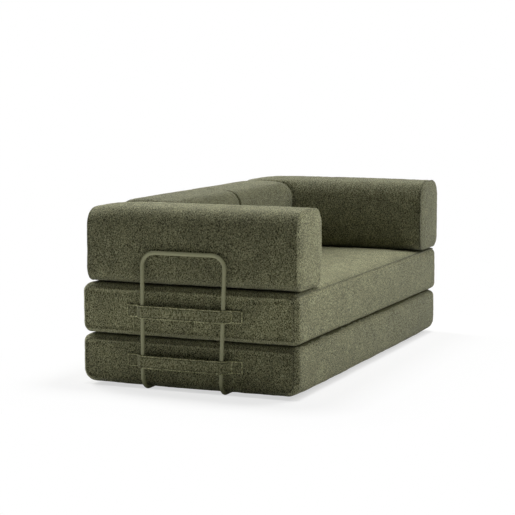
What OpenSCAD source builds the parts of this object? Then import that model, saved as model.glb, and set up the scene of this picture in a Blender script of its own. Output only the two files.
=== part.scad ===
// Fold-out sofa bed of foam blocks, with bent-tube frames that hold the arms and the back.
// Millimetres, +Z up, front towards -Y. The origin is on the floor under the middle of the lower slab.

/* [Slabs] */
// Width of both slabs, which is the width of the sofa and of the bed
slab_w = 1810; // [1600:10:2000]
// Depth of one slab, front to back
slab_d = 938; // [880:2:1000]
// Thickness of the lower slab
lower_t = 204; // [190:1:230]
// Thickness of the upper slab
upper_t = 204; // [190:1:230]
// Edge radius along the long edges of a slab
slab_edge_r = 37; // [30:1:45]
// Radius of the two edges that rest on the floor
slab_foot_r = 54; // [45:1:60]
// Edge radius round the end panels of a slab
slab_end_r = 27; // [20:1:34]
// Rise of the seat at its middle
seat_rise = 14; // [8:1:24]
// How far the faces of a slab stand out at their middle
slab_crown = 5; // [3:1:8]
// How far the underside curls up from the floor along its edges
foot_lift = 8; // [5:1:12]

/* [Bolsters] */
// Height of the four bolsters
bolster_h = 322; // [290:1:340]
// Thickness of an arm bolster
arm_t = 283; // [250:1:300]
// How far an arm bolster stops short of the back of the slab
arm_back_inset = 17; // [10:1:40]
// Thickness of a back bolster
back_t = 310; // [280:1:330]
// How far a back bolster stops short of the back of the slab
back_inset = 6; // [4:1:20]
// Radius of the top edges of a bolster
bolster_top_r = 72; // [60:1:85]
// Radius of the bottom edges of a bolster
bolster_foot_r = 50; // [40:1:60]
// Edge radius round the end panels of a bolster
bolster_end_r = 25; // [20:1:30]
// How far the faces of a bolster stand out at their middle
bolster_crown = 6; // [5:1:12]
// Depth of the valley that each end seam draws in
seam_dip = 3; // [2:0.5:4]

/* [Covers and cores] */
// Thickness of a cover with its pile and its wadding
cover_wall = 13; // [11:1:16]
// Gap between a foam core and its cover
core_gap = 0.4; // [0.3:0.1:1]
// Gap between neighbouring cushions
cushion_gap = 0.3; // [0.2:0.1:0.6]

/* [Frames] */
// Diameter of the frame tube
tube_d = 16; // [14:0.5:18]
// Wall of the frame tube
tube_wall = 1.5; // [1:0.1:2]
// Distance between the two legs of a frame at its top, middle to middle
leg_spacing = 348; // [300:2:380]
// How far each leg draws in from the top to the floor
leg_draw = 9; // [0:1:12]
// How far a frame stands further out at the floor than at its top
frame_lean = 21; // [0:1:26]
// Height of the top of a frame above the floor
frame_h = 548; // [500:1:600]
// Bend radius of the top corners, at the middle of the tube
corner_r = 52; // [45:1:60]
// Bend radius at the floor, at the middle of the tube
foot_r = 52; // [40:1:60]
// How far a foot reaches in under the lower slab
foot_reach = 330; // [260:5:350]
// Gap between the top of a frame and the cushion beside it
tube_gap = 0.6; // [0.4:0.1:1]
// How far the side frames stand behind the middle of the slabs
side_frame_shift = 8; // [0:1:20]

/* [Straps] */
// Height of a strap
strap_h = 51; // [46:1:56]
// Thickness of the padded band of a strap
band_t = 6; // [5:0.5:8]
// Thickness of the sewn tab at each end of a strap
tab_t = 4.5; // [3:0.5:6]
// Length of a sewn tab
tab_l = 46; // [40:1:52]
// Length of the band between the tabs
band_l = 398; // [390:1:410]
// Width of the band's seam ridges against its tabs, per side
tab_step = 1.5; // [0.5:0.5:3]
// Height of the middle of the lower strap above the floor
lower_strap_z = 114; // [95:1:125]
// Height of the middle of the upper strap above the underside of the upper slab
upper_strap_z = 104; // [95:1:125]

/* [Zips] */
// Width of the zip's chain
chain_w = 6; // [5:0.5:7]
// Thickness of the zip's chain
chain_t = 2.4; // [2:0.1:3]
// Width of the zip tape
tape_w = 20; // [18:1:24]
// Length of a slider
slider_l = 15; // [12:1:18]
// Height of the zip above the underside of a slab
slab_zip_z = 48; // [44:1:52]
// Distance from the end of a cushion to the end of its zip
zip_end_margin = 90; // [70:5:120]

/* [Hinge strip] */
// Height of the front hinge strip
strip_h = 20; // [16:1:24]
// Thickness of the front hinge strip
strip_t = 2; // [1.5:0.5:3]
// Distance from the end of a slab to the end of the strip
strip_end_margin = 45; // [40:5:80]

/* [Hidden] */

fabric_colour = [0.42, 0.42, 0.30];
strap_colour = [0.38, 0.38, 0.27];
frame_colour = [0.44, 0.45, 0.32];
foam_colour = [0.93, 0.90, 0.78];
zip_colour = [0.25, 0.25, 0.18];
plug_colour = [0.12, 0.12, 0.11];

// Levels of the stack
upper_z = lower_t + cushion_gap;
seat_z = upper_z + upper_t;
bolster_z = seat_z + cushion_gap;

// Lengths and places of the bolsters
arm_l = slab_d - arm_back_inset;
arm_x = (slab_w - arm_t) / 2;
arm_y = -arm_back_inset / 2;
seat_w = slab_w - 2 * arm_t;
back_l = (seat_w - 3 * cushion_gap) / 2;
back_x = (back_l + cushion_gap) / 2;
back_y = (slab_d - back_t) / 2 - back_inset;
seat_back_y = back_y - back_t / 2;

// Each list of edge radii runs front bottom, back bottom, back top, front top
lower_radii = [slab_foot_r, slab_foot_r, slab_edge_r, slab_edge_r];
upper_radii = [slab_edge_r, slab_edge_r, slab_edge_r, slab_edge_r];
bolster_radii = [bolster_foot_r, bolster_foot_r, bolster_top_r, bolster_top_r];
// Each list of crowns runs bottom, back, top, front; what is pressed on stays flat
slab_crowns = [0, slab_crown, 0, slab_crown];
lower_crowns = [foot_lift, slab_crown, 0, slab_crown];
bolster_crowns = [0, bolster_crown, bolster_crown, bolster_crown];

// Steps in each edge arc, and where the points between two edges lie
arc_steps = 5;
side_shares = [0.5];
wide_shares = [0.25, 0.5, 0.75];
// The seat's own points begin at its back edge, so that the cushions behind it stand on the flat
seat_front_y = -slab_d / 2 + slab_crown + slab_edge_r;
seat_edge_share = (seat_front_y + seat_back_y - cushion_gap) / (2 * seat_front_y);
seat_shares = [
    seat_edge_share / 2,
    each [for (s = [0:0.2:0.8]) seat_edge_share + s * (1 - seat_edge_share)]
];
// Where the full sections lie, and how the end panel closes
ring_shares = [-0.8, -0.4, 0, 0.4, 0.8];
seat_ring_shares = [-1, -0.85, -0.5, 0, 0.5, 0.85, 1];
panel_shares = [0.75, 0.35];
panel_core_share = 0.8;
least_r = 2;
// The underside comes down to the floor within this share of its bulge
settle_share = 2.3;
// Angle on the rounded end edge between the end panel or the sides and the seam
seam_turn = 15;

// Zips
tape_t = 0.8;
stop_l = 6;
slab_groove_d = 10;
foot_groove_d = 8;
groove_side = 2;
slider_wall = 1.4;
slider_gap = 0.25;
bail_w = 2.4;
bail_rise = 1.4;
bail_l_share = 0.6;
// The lower ends of the groove lie this far past the ends of the tape
groove_end = 4;

// Tubes, channels and plugs
tube_r = tube_d / 2;
bore_r = tube_r - tube_wall;
tube_y = tube_gap + tube_r;
// A bend swells this much over the straight tube, which runs this far on into it
bend_swell = 0.05;
bend_lap = 1;
channel_gap = 0.4;
plug_head_t = 2.5;
plug_stem_l = 14;
plug_stem_gap = 0.15;
plug_rib_w = 1;
overrun = 1;
strap_gap = 0.4;
sewn_gap = 0.1;
fine = 48;

// Turns of the bends: the legs lean and draw in, and the feet come out level
top = frame_h - tube_r;
bar_half = leg_spacing / 2 - corner_r;
lean_turn = atan(frame_lean / (top - tube_r));
draw_turn = atan(leg_draw / (top - corner_r));
bend_turn = 90 + atan(tan(lean_turn) / cos(draw_turn));
corner_drop = corner_r * (1 + sin(draw_turn));
bend_drop = foot_r
    * (sin(bend_turn) * cos(draw_turn) * cos(lean_turn) + (1 - cos(bend_turn)) * sin(lean_turn));
bend_reach = foot_r
    * ((1 - cos(bend_turn)) * cos(lean_turn) - sin(bend_turn) * cos(draw_turn) * sin(lean_turn));
leg_l = ((top - tube_r - bend_drop) / cos(lean_turn) - corner_drop) / cos(draw_turn);
foot_l = foot_reach - bend_reach + (corner_drop + leg_l * cos(draw_turn)) * sin(lean_turn);

// How far the middle of a leg stands out from the plane of the top bar, and from the frame's middle, at z
function leg_out(z) = (top - z) * tan(lean_turn);
function leg_half(z) =
    bar_half + corner_r * cos(draw_turn) - ((top - z) / cos(lean_turn) - corner_drop) * tan(draw_turn);

// The band goes round a leaning tube with room for its lean
strap_in_r = tube_r + strap_gap + strap_h / 2 * tan(lean_turn);
strap_out_r = strap_in_r + band_t;
strap_steps = 5;

/* The box cushion */

// Outline of a section: one point after another round a w by h box that is drawn in by e,
// with rounded edges r and with faces that stand out by the crowns times c.
// Corner k comes before face k: front bottom, bottom; back bottom, back; back top, top; front top, front
function section(w, h, r, crowns, e, c, shares) =
    let (
        in_f = crowns[3] + e, in_b = crowns[1] + e,
        lo = crowns[0] + e, hi = h - crowns[2] - e,
        y0 = -w / 2 + in_f, y1 = w / 2 - in_b,
        q = [for (v = r) max(v - e, least_r)],
        centres = [[y0 + q[0], lo + q[0]], [y1 - q[1], lo + q[1]],
                   [y1 - q[2], hi - q[2]], [y0 + q[3], hi - q[3]]],
        normals = [[0, -1], [1, 0], [0, 1], [-1, 0]]
    )
    [for (k = [0:3])
        let (n = (k + 1) % 4, a0 = 180 + 90 * k)
        each concat(
            [for (i = [0:arc_steps])
                centres[k] + q[k] * [cos(a0 + 90 * i / arc_steps), sin(a0 + 90 * i / arc_steps)]],
            [for (s = shares[k])
                let (
                    from = centres[k] + q[k] * normals[k],
                    to = centres[n] + q[n] * normals[k],
                    lift = c * (1 - pow(2 * s - 1, 2)),
                    share = k == 0 ? min(1, settle_share * lift) : lift
                )
                from + s * (to - from) + crowns[k] * share * normals[k]]
        )];

// Rings from the middle of an end panel to the first full section:
// each is [distance in from the end, drawn-in by]; the seam is drawn in at one turn of the rounded edge
function end_rings(end_r, crown, e_max, seam_at) = concat(
    [for (s = concat([1], panel_shares))
        [crown * pow(1 - s, 2), end_r + s * e_max]],
    [for (a = seam_at < 45 ? [0, seam_at, 30, 60, 90] : [0, 30, 60, seam_at, 90])
        let (r = end_r - (a == seam_at ? seam_dip : 0))
        [crown + end_r - r * cos(a), end_r - r * sin(a)]]
);

// A sewn box cushion, l long on X, w deep on Y and h high, with full sections at the places in mids;
// seat is [half length, front y, back y, rise]
module box_cushion(l, w, h, r, crowns, end_r, seam_at, shares, mids, seat = undef) {
    crown = crowns[3];
    e_max = panel_core_share * min(w, h) / 2 - end_r;
    ends = end_rings(end_r, crown, e_max, seam_at);
    rings = concat(
        [for (v = ends) [-l / 2 + v[0], v[1]]],
        [for (x = mids) [x, 0]],
        [for (i = [len(ends) - 1:-1:0]) [l / 2 - ends[i][0], ends[i][1]]]
    );
    outlines = [for (v = rings) section(w, h, r, crowns, v[1], 1 - pow(2 * v[0] / l, 4), shares)];
    n = len(outlines[0]);
    m = len(rings);
    points = concat(
        [for (j = [0:m - 1]) each
            [for (p = outlines[j]) [rings[j][0], p[0], p[1] + dome(rings[j][0], p, h, seat)]]],
        [[-l / 2, 0, h / 2], [l / 2, 0, h / 2]]
    );
    faces = concat(
        [for (j = [0:m - 2]) each [for (i = [0:n - 1])
            let (a = j * n + i, b = j * n + (i + 1) % n) each [[a, a + n, b], [b, a + n, b + n]]]],
        [for (i = [0:n - 1]) [m * n, i, (i + 1) % n]],
        [for (i = [0:n - 1]) [m * n + 1, (m - 1) * n + (i + 1) % n, (m - 1) * n + i]]
    );
    polyhedron(points, faces);
}

// Height that a point on the top of the seat gains
function dome(x, p, h, seat) =
    is_undef(seat) || p[1] < h - least_r || abs(x) >= seat[0] || p[0] <= seat[1] || p[0] >= seat[2] ? 0
    : seat[3] * sqrt(1 - pow(x / seat[0], 2))
        * (1 - pow(2 * (p[0] - seat[1]) / (seat[2] - seat[1]) - 1, 2));

// A plain block with the same four edge radii, all faces set in by d
module block(l, w, h, r, crowns, end_in, d) {
    inner = [for (v = r) v - d];
    y0 = -w / 2 + crowns[3] + d;
    y1 = w / 2 - crowns[1] - d;
    z0 = crowns[0] + d;
    z1 = h - crowns[2] - d;
    centres = [[y0 + inner[0], z0 + inner[0]], [y1 - inner[1], z0 + inner[1]],
               [y1 - inner[2], z1 - inner[2]], [y0 + inner[3], z1 - inner[3]]];
    rotate([90, 0, 90])
        linear_extrude(l - 2 * (end_in + d), center = true) {
            for (k = [0:3]) translate(centres[k]) circle(inner[k], $fn = fine);
            polygon([[centres[0][0], z0], [centres[1][0], z0], [y1, centres[1][1]], [y1, centres[2][1]],
                     [centres[2][0], z1], [centres[3][0], z1], [y0, centres[3][1]], [y0, centres[0][1]]]);
        }
}

/* Zips */

// Length of the zip of a cushion of length l
function zip_l(l) = l - 2 * zip_end_margin;

// Tape and chain on the bottom of a groove, along X, outwards towards +Z, with a stop at each end
module zip_run(l) {
    translate([-l / 2, -tape_w / 2, 0]) cube([l, tape_w, tape_t]);
    translate([-l / 2 + stop_l, -chain_w / 2, tape_t]) cube([l - 2 * stop_l, chain_w, chain_t]);
    for (s = [-1, 1])
        translate([s * (l - stop_l) / 2, 0, tape_t])
            translate([-stop_l / 2, -chain_w / 2, 0]) cube([stop_l, chain_w, chain_t + slider_wall]);
}

// Slider at the closed end: a plate with two flanges round the chain and a low bail
module slider(l) {
    inner_w = chain_w + 2 * slider_gap;
    outer_w = inner_w + 2 * slider_wall;
    translate([-l / 2 + stop_l + slider_gap, 0, tape_t + slider_gap]) {
        translate([0, -outer_w / 2, chain_t]) cube([slider_l, outer_w, slider_wall]);
        for (s = [-1, 1])
            translate([0, s * (inner_w + slider_wall) / 2 - slider_wall / 2, 0])
                cube([slider_l, slider_wall, chain_t + slider_wall]);
        translate([slider_l * (1 - bail_l_share) / 2, -bail_w / 2, chain_t + slider_wall])
            cube([slider_l * bail_l_share, bail_w, bail_rise]);
    }
}

// Space that a zip of length l lies in, open towards +Z
module zip_groove(l) {
    translate([-l / 2 - groove_end, -tape_w / 2 - groove_side, 0])
        cube([l + 2 * groove_end, tape_w + 2 * groove_side, slab_groove_d + overrun]);
}

// Puts a zip's parts on the back of a slab whose underside is at z
module on_slab_back(z) {
    translate([0, slab_d / 2 - slab_groove_d, z + slab_zip_z]) rotate([-90, 0, 0]) children();
}

// Puts a zip's parts on the underside of a bolster that stands at z = 0
module on_bolster_foot() {
    translate([0, 0, foot_groove_d]) rotate([180, 0, 0]) children();
}

/* Frames, in their own place: the top bar on the plane y = 0, cushions and feet towards +Y */

// The leaning plane of a frame, from the middle of its top bar
module on_plane() {
    translate([0, 0, top]) rotate([-lean_turn, 0, 0]) children();
}

// The top corner of the leg on side s, turned so that the leg runs down along -Y from x = corner_r
module on_leg(s) {
    on_plane() mirror([s < 0 ? 1 : 0, 0, 0]) translate([bar_half, 0, -corner_r])
        rotate([90, 0, 0]) rotate([0, 0, -draw_turn]) children();
}

// The middle of the bend at the floor, turned so that the bend starts at x = foot_r and goes towards +Y
module on_bend(s) {
    on_leg(s) translate([corner_r, -leg_l, -foot_r]) rotate([180, -90, 0]) children();
}

// A bend of the tube: the part of a ring between y = 0 and the same plane turned by the angle of the bend
module bend(ring_r, turn, r) {
    room = ring_r + 2 * r;
    intersection() {
        rotate_extrude($fn = 2 * fine) translate([ring_r, 0]) circle(r, $fn = fine);
        translate([-room, 0, -room]) cube(2 * room);
        rotate([0, 0, turn]) translate([-room, -2 * room, -room]) cube(2 * room);
    }
}

// The bent tube, or its bore, as a solid of radius r
module bent_tube(r, past = 0) {
    on_plane() translate([-bar_half - bend_lap, 0, 0]) rotate([0, 90, 0])
        cylinder(h = 2 * (bar_half + bend_lap), r = r, $fn = fine);
    for (s = [-1, 1]) {
        on_leg(s) {
            bend(corner_r, 90 + draw_turn, r + bend_swell);
            translate([corner_r, bend_lap, 0]) rotate([90, 0, 0])
                cylinder(h = leg_l + 2 * bend_lap, r = r, $fn = fine);
        }
        foot(r, s, past);
    }
}

// The bend at the floor and the straight foot of the leg on side s
module foot(r, s, past = 0) {
    on_bend(s) {
        bend(foot_r, bend_turn, r + bend_swell);
        rotate([0, 0, bend_turn]) translate([foot_r, -bend_lap, 0]) rotate([-90, 0, 0])
            cylinder(h = foot_l + bend_lap + past, r = r, $fn = fine);
    }
}

module frame() {
    difference() {
        bent_tube(tube_r);
        bent_tube(bore_r, overrun);
    }
}

// Two ribbed plugs in the open ends of the feet
module plugs() {
    for (s = [-1, 1])
        on_bend(s) rotate([0, 0, bend_turn])
            translate([foot_r, foot_l + sewn_gap, 0]) rotate([-90, 0, 0]) {
                cylinder(h = plug_head_t, r = tube_r, $fn = fine);
                translate([0, 0, -plug_stem_l])
                    cylinder(h = plug_stem_l, r = bore_r - plug_rib_w, $fn = fine);
                for (i = [1:3])
                    translate([0, 0, -i * plug_stem_l / 4])
                        cylinder(h = plug_rib_w, r = bore_r - plug_stem_gap, $fn = fine);
            }
}

// Room for the feet of one frame in the underside of the lower slab, widened by d
module foot_channels(d = 0) {
    reach_past = plug_head_t + sewn_gap + channel_gap + d;
    for (s = [-1, 1]) foot(tube_r + channel_gap + d, s, reach_past);
}

/* Straps, in the place of their frame, around the height z */

// Half of the band: straight over the tubes, round one of them and down to the cushion.
// seam is where the band ends at the tab, from the middle of the tube at half
module half_band(half, seam) {
    turn = atan2(seam[1], seam[0]) - acos(strap_in_r / norm(seam));
    tube = [half, 0];
    heel = tube + seam + band_t * [cos(turn), sin(turn)];
    turns = [for (i = [0:strap_steps]) -90 + (90 + turn) * i / strap_steps];
    polygon(concat(
        [[0, -strap_out_r]], [for (a = turns) tube + strap_out_r * [cos(a), sin(a)]],
        [heel, [heel[0], seam[1]], tube + seam],
        [for (i = [strap_steps:-1:0]) tube + strap_in_r * [cos(turns[i]), sin(turns[i])]], [[0, -strap_in_r]]
    ));
}

// One strap at height z: the band, and the two tabs that are sewn to the cushion and are a little less high
module strap(z) {
    half = leg_half(z);
    seam = [band_l / 2 - half, tube_y + leg_out(z) - sewn_gap];
    turn = atan2(seam[1], seam[0]) - acos(strap_in_r / norm(seam));
    tab_start = band_t * cos(turn) / 2;
    translate([0, -leg_out(z), z]) {
        linear_extrude(strap_h, center = true)
            for (s = [0, 1]) mirror([s, 0]) half_band(half, seam);
        for (s = [0, 1]) mirror([s, 0, 0])
            translate([band_l / 2 + tab_start, seam[1] - tab_t, tab_step - strap_h / 2])
                cube([tab_l - tab_start, tab_t, strap_h - 2 * tab_step]);
    }
}

/* Places */

// End of the sofa: side is -1 for the left end and 1 for the right end
module at_side(side) {
    translate([side * (slab_w / 2 + tube_y), side_frame_shift, 0]) rotate([0, 0, side * 90]) children();
}

// Back of the sofa, behind one back bolster
module at_back(side) {
    translate([side * back_x, slab_d / 2 + tube_y, 0]) rotate([0, 0, 180]) children();
}

module at_arm(side) {
    translate([side * arm_x, arm_y, bolster_z]) rotate([0, 0, 90]) children();
}

module at_backrest(side) {
    translate([side * back_x, back_y, bolster_z]) children();
}

/* Cushions */

slab_shares = [wide_shares, side_shares, wide_shares, side_shares];
seat_slab_shares = [wide_shares, side_shares, seat_shares, side_shares];
bolster_shares = [side_shares, side_shares, side_shares, side_shares];
slab_mids = slab_w / 2 * ring_shares;
seat_mids = seat_w / 2 * seat_ring_shares;

module bolster_cover(l, w) {
    difference() {
        box_cushion(l, w, bolster_h, bolster_radii, bolster_crowns, bolster_end_r, 90 - seam_turn,
                    bolster_shares, l / 2 * ring_shares);
        block(l, w, bolster_h, bolster_radii, bolster_crowns, bolster_crown, cover_wall);
        on_bolster_foot() zip_groove(zip_l(l));
    }
}

module bolster_core(l, w) {
    block(l, w, bolster_h, bolster_radii, bolster_crowns, bolster_crown, cover_wall + core_gap);
}

module all_channels(d = 0) {
    for (side = [-1, 1]) {
        at_side(side) foot_channels(d);
        at_back(side) foot_channels(d);
    }
}

module lower_slab_cover() {
    color(fabric_colour) difference() {
        box_cushion(slab_w, slab_d, lower_t, lower_radii, lower_crowns, slab_end_r, seam_turn, slab_shares,
                    slab_mids);
        difference() {
            block(slab_w, slab_d, lower_t, lower_radii, lower_crowns, slab_crown, cover_wall);
            all_channels(cover_wall);
        }
        all_channels();
        on_slab_back(0) zip_groove(zip_l(slab_w));
    }
}

module lower_slab_core() {
    color(foam_colour) difference() {
        block(slab_w, slab_d, lower_t, lower_radii, lower_crowns, slab_crown, cover_wall + core_gap);
        all_channels(cover_wall + core_gap);
    }
}

module lower_slab_zip() {
    color(zip_colour) on_slab_back(0) zip_run(zip_l(slab_w));
}

module lower_slab_slider() {
    color(zip_colour) on_slab_back(0) slider(zip_l(slab_w));
}

module upper_slab_cover() {
    color(fabric_colour) translate([0, 0, upper_z]) difference() {
        box_cushion(slab_w, slab_d, upper_t, upper_radii, slab_crowns, slab_end_r, seam_turn,
                    seat_slab_shares, seat_mids,
                    [seat_w / 2, seat_front_y, seat_back_y - cushion_gap, seat_rise]);
        block(slab_w, slab_d, upper_t, upper_radii, slab_crowns, slab_crown, cover_wall);
        on_slab_back(0) zip_groove(zip_l(slab_w));
    }
}

module upper_slab_core() {
    color(foam_colour) translate([0, 0, upper_z])
        block(slab_w, slab_d, upper_t, upper_radii, slab_crowns, slab_crown, cover_wall + core_gap);
}

module upper_slab_zip() {
    color(zip_colour) on_slab_back(upper_z) zip_run(zip_l(slab_w));
}

module upper_slab_slider() {
    color(zip_colour) on_slab_back(upper_z) slider(zip_l(slab_w));
}

module arm_cover(side) {
    color(fabric_colour) at_arm(side) bolster_cover(arm_l, arm_t);
}

module arm_core(side) {
    color(foam_colour) at_arm(side) bolster_core(arm_l, arm_t);
}

module arm_zip(side) {
    color(zip_colour) at_arm(side) on_bolster_foot() zip_run(zip_l(arm_l));
}

module arm_slider(side) {
    color(zip_colour) at_arm(side) on_bolster_foot() slider(zip_l(arm_l));
}

module back_cover(side) {
    color(fabric_colour) at_backrest(side) bolster_cover(back_l, back_t);
}

module back_core(side) {
    color(foam_colour) at_backrest(side) bolster_core(back_l, back_t);
}

module back_zip(side) {
    color(zip_colour) at_backrest(side) on_bolster_foot() zip_run(zip_l(back_l));
}

module back_slider(side) {
    color(zip_colour) at_backrest(side) on_bolster_foot() slider(zip_l(back_l));
}

// Depth of the groove between the rounded slab edges, half the strip's height above its middle
strip_drop = slab_crown + slab_edge_r - sqrt(pow(slab_edge_r, 2) - pow(slab_edge_r - strip_h / 2, 2));

module front_hinge_strip() {
    color(strap_colour)
        translate([-slab_w / 2 + strip_end_margin, -slab_d / 2 + strip_drop - strip_t - cushion_gap,
                   upper_z - cushion_gap / 2 - strip_h / 2])
            cube([slab_w - 2 * strip_end_margin, strip_t, strip_h]);
}

module side_frame(side) {
    color(frame_colour) at_side(side) frame();
}

module back_frame(side) {
    color(frame_colour) at_back(side) frame();
}

module side_plugs(side) {
    color(plug_colour) at_side(side) plugs();
}

module back_plugs(side) {
    color(plug_colour) at_back(side) plugs();
}

module side_strap(side, z) {
    color(strap_colour) at_side(side) strap(z);
}

module back_strap(side, z) {
    color(strap_colour) at_back(side) strap(z);
}

lower_slab_cover();
lower_slab_core();
lower_slab_zip();
lower_slab_slider();
upper_slab_cover();
upper_slab_core();
upper_slab_zip();
upper_slab_slider();
arm_cover(-1);  // left_arm_cover
arm_core(-1);  // left_arm_core
arm_zip(-1);  // left_arm_zip
arm_slider(-1);  // left_arm_slider
arm_cover(1);  // right_arm_cover
arm_core(1);  // right_arm_core
arm_zip(1);  // right_arm_zip
arm_slider(1);  // right_arm_slider
back_cover(-1);  // left_back_cover
back_core(-1);  // left_back_core
back_zip(-1);  // left_back_zip
back_slider(-1);  // left_back_slider
back_cover(1);  // right_back_cover
back_core(1);  // right_back_core
back_zip(1);  // right_back_zip
back_slider(1);  // right_back_slider
front_hinge_strip();
side_frame(-1);  // left_side_frame
side_frame(1);  // right_side_frame
back_frame(-1);  // left_back_frame
back_frame(1);  // right_back_frame
side_plugs(-1);  // left_side_plugs
side_plugs(1);  // right_side_plugs
back_plugs(-1);  // left_back_plugs
back_plugs(1);  // right_back_plugs
side_strap(-1, lower_strap_z);  // left_side_lower_strap
side_strap(-1, upper_z + upper_strap_z);  // left_side_upper_strap
side_strap(1, lower_strap_z);  // right_side_lower_strap
side_strap(1, upper_z + upper_strap_z);  // right_side_upper_strap
back_strap(-1, lower_strap_z);  // left_back_lower_strap
back_strap(-1, upper_z + upper_strap_z);  // left_back_upper_strap
back_strap(1, lower_strap_z);  // right_back_lower_strap
back_strap(1, upper_z + upper_strap_z);  // right_back_upper_strap
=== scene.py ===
import math

import bpy
import numpy as np
from mathutils import Matrix, Vector, noise


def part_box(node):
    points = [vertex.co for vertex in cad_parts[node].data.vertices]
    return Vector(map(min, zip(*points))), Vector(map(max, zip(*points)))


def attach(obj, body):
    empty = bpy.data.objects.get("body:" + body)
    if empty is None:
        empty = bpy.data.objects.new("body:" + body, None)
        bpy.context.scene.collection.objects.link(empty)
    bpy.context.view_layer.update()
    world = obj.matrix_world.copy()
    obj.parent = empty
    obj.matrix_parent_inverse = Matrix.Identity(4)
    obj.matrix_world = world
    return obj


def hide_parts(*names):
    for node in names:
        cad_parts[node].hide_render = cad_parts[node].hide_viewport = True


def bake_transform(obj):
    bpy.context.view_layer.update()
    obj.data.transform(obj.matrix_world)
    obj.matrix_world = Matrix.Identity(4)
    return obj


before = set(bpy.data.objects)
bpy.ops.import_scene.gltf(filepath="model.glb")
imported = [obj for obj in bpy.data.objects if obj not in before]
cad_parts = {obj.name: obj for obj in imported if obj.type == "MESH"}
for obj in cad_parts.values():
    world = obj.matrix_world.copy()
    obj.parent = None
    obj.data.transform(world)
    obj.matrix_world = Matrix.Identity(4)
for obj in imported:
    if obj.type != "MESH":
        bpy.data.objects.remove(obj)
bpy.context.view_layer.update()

# Viewpoint. The sofa bed stands on a pale floor and is looked at from its left end, a little from the front
# and from about standing height. Soft lights stand in front of it on the right, above it and behind it; the room
# fills the rest.
eye = bpy.data.cameras.new("eye")
eye.lens = 111.3
eye.sensor_width = 36
eye.clip_end = 60
stand = bpy.data.objects.new("eye", eye)
stand.location = (-6.3829, -2.6062, 1.2375)
looks_down, looks_round = math.radians(6.69), math.radians(22.85)
stand.rotation_euler = (math.radians(90) - looks_down, 0, looks_round - math.radians(90))
bpy.context.scene.collection.objects.link(stand)
bpy.context.scene.camera = stand
bpy.context.scene.view_settings.view_transform = "Standard"


def soft_light(name, towards, distance, width, power, aim=(0, 0, 0.35)):
    lamp = bpy.data.lights.new(name, "AREA")
    lamp.size = width
    lamp.energy = power
    ob = bpy.data.objects.new(name, lamp)
    ob.location = Vector(aim) + Vector(towards).normalized() * distance
    ob.rotation_euler = (Vector(aim) - ob.location).to_track_quat("-Z", "Y").to_euler()
    bpy.context.scene.collection.objects.link(ob)


soft_light("window_light", towards=(0.8, -1.0, 0.9), distance=5.0, width=2.0, power=120)
soft_light("top_light", towards=(0.09, -0.24, 0.96), distance=5.6, width=1.8, power=150, aim=(0, 0, 0.4))
soft_light("back_light", towards=(0.3, 1.0, 0.7), distance=6.0, width=3.0, power=430)

room = bpy.data.worlds.new("room")
bpy.context.scene.world = room
room.use_nodes = True
n = room.node_tree.nodes
n.clear()
rays = n.new("ShaderNodeLightPath")
seen = n.new("ShaderNodeMath")
seen.operation = "MAXIMUM"
seen_too = n.new("ShaderNodeMath")
seen_too.operation = "MAXIMUM"
fill = n.new("ShaderNodeBackground")
fill.inputs["Color"].default_value = (0.97, 0.97, 0.86, 1)
fill.inputs["Strength"].default_value = 0.08
white = n.new("ShaderNodeBackground")
white.inputs["Color"].default_value = (1, 1, 1, 1)
white.inputs["Strength"].default_value = 1.0
pick = n.new("ShaderNodeMixShader")
out = n.new("ShaderNodeOutputWorld")
link = room.node_tree.links.new
link(rays.outputs["Is Camera Ray"], seen.inputs[0])
link(rays.outputs["Is Glossy Ray"], seen.inputs[1])
link(seen.outputs[0], seen_too.inputs[0])
link(rays.outputs["Is Transmission Ray"], seen_too.inputs[1])
link(seen_too.outputs[0], pick.inputs["Fac"])
link(fill.outputs[0], pick.inputs[1])
link(white.outputs[0], pick.inputs[2])
link(pick.outputs[0], out.inputs["Surface"])

# Floor. A plain pale floor that runs on into the white background and keeps the sofa's soft shadow, which fades
# out over a little more than half a metre around the foot of the lower slab.
floor_half, floor_drop = 14.0, 0.0006
foot_half = (0.885, 0.449, 0)
shadow_reach = 0.6
shadow_fade = ((0.03, 0.77), (0.20, 0.76), (0.35, 0.87), (0.52, 0.97))
floor_mesh = bpy.data.meshes.new("floor")
floor_mesh.from_pydata(
    [(-floor_half, -floor_half, 0), (floor_half, -floor_half, 0), (floor_half, floor_half, 0),
     (-floor_half, floor_half, 0)], [], [(0, 1, 2, 3)])
floor = bpy.data.objects.new("floor", floor_mesh)
floor.location.z = -floor_drop
bpy.context.scene.collection.objects.link(floor)
pale = bpy.data.materials.new("pale_floor")
pale.use_nodes = True
n = pale.node_tree.nodes
n.clear()
link = pale.node_tree.links.new
rays = n.new("ShaderNodeLightPath")
matt = n.new("ShaderNodeBsdfDiffuse")
matt.inputs["Color"].default_value = (0.86, 0.86, 0.86, 1)
glow = n.new("ShaderNodeEmission")
glow.inputs["Color"].default_value = (1, 1, 1, 1)
glow.inputs["Strength"].default_value = 1.0
place = n.new("ShaderNodeTexCoord")
either_side = n.new("ShaderNodeVectorMath")
either_side.operation = "ABSOLUTE"
beyond = n.new("ShaderNodeVectorMath")
beyond.operation = "SUBTRACT"
beyond.inputs[1].default_value = foot_half
outside = n.new("ShaderNodeVectorMath")
outside.operation = "MAXIMUM"
spread = n.new("ShaderNodeVectorMath")
spread.operation = "LENGTH"
near = n.new("ShaderNodeMapRange")
near.inputs["From Max"].default_value = shadow_reach
fade = n.new("ShaderNodeValToRGB")
fade.color_ramp.elements[0].position, fade.color_ramp.elements[0].color = 0.0, (0.60, 0.60, 0.60, 1)
fade.color_ramp.elements[1].position, fade.color_ramp.elements[1].color = 1.0, (1, 1, 1, 1)
for at, share in shadow_fade:
    fade.color_ramp.elements.new(at).color = (share, share, share, 1)
seen = n.new("ShaderNodeMath")
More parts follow.
